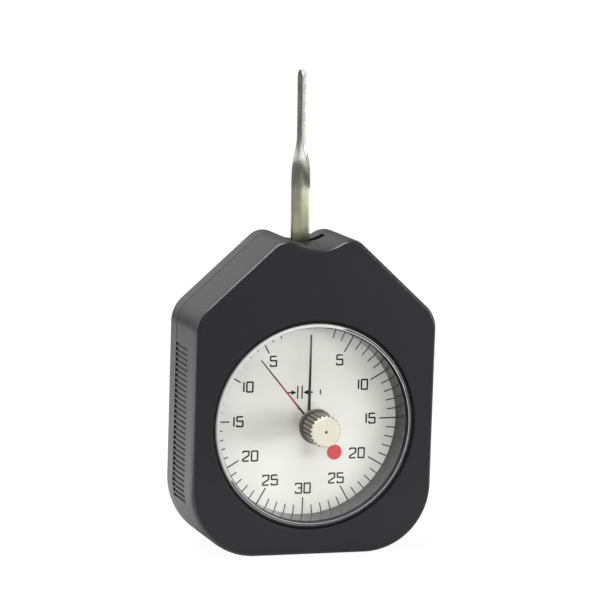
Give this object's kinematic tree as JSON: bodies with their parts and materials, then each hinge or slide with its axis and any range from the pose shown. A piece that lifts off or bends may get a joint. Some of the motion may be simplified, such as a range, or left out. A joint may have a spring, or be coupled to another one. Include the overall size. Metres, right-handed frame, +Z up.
{
  "type": "dial tension gauge",
  "caption": "Hand-held gauge with a round dial, a swinging measuring lever on top and a resettable memory pointer.",
  "frame": {"origin": "middle of the casing's flat bottom, half way between its front and back faces", "axes": "+Z up along the lever, +Y from the dial to the back, +X to the right of the dial's reader"},
  "size_m": [0.0628, 0.0322, 0.1201],
  "materials": {
    "casing": "satin charcoal",
    "crystal": "clear, polished",
    "seal": "matte black",
    "dial": "pale grey, printed",
    "pointer_black": "satin black",
    "pointer_red": "satin red",
    "lever": "nickel plated",
    "knob": "satin, fluted",
    "steel": "bright",
    "brass": "satin"
  },
  "bodies": {
    "casing": {"front_cover": "casing", "rear_cover": "casing", "case_screw_lower_left": "steel", "case_screw_lower_right": "steel", "case_screw_upper_left": "steel", "case_screw_upper_right": "steel", "crystal": "crystal", "crystal_seal": "seal", "knob_bush": "brass", "dial_plate": "dial", "movement_front_plate": "brass", "movement_rear_plate": "brass", "pillar_left": "brass", "pillar_right": "brass", "pillar_lower": "brass", "plate_screw_left": "steel", "plate_screw_right": "steel", "plate_screw_lower": "steel", "movement_screw_left": "steel", "movement_screw_right": "steel", "movement_screw_lower": "steel", "stop_pin_left": "steel", "stop_pin_right": "steel", "lever_front_bush": "brass", "lever_rear_bush": "brass", "measuring_spring": "steel", "measuring_spring_stud": "brass", "centre_front_bush": "brass", "centre_rear_bush": "brass", "hairspring": "steel", "hairspring_stud": "brass"},
    "lever": {"measuring_lever": "lever", "lever_arbor": "steel", "lever_hub": "brass", "sector_gear": "brass", "measuring_spring_collet": "brass"},
    "pointer": {"main_pointer": "pointer_black", "main_pointer_hub": "pointer_black", "centre_arbor": "steel", "hairspring_collet": "brass"},
    "reset": {"reset_knob": "knob", "knob_stem": "steel", "friction_washer": "steel", "memory_pointer_hub": "pointer_black", "memory_pointer": "pointer_red"}
  },
  "joints": [
    {"name": "lever_swing", "type": "hinge", "parent": "casing", "child": "lever", "pos_m": [0, 0, 0.0628], "axis": [0, 1, 0], "range_deg": [-9.47, 9.47], "stiffness_Nm_per_rad": 0.1},
    {"name": "pointer_turn", "type": "hinge", "parent": "casing", "child": "pointer", "pos_m": [0, 0, 0.0328], "axis": [0, 1, 0], "range_deg": [-180, 180]},
    {"name": "knob_turn", "type": "hinge", "parent": "casing", "child": "reset", "pos_m": [0, 0, 0.0328], "axis": [0, 1, 0], "range_deg": [-314, 34]}
  ],
  "couplings": [
    {"joint": "pointer_turn", "follows": "lever_swing", "ratio": -19}
  ]
}
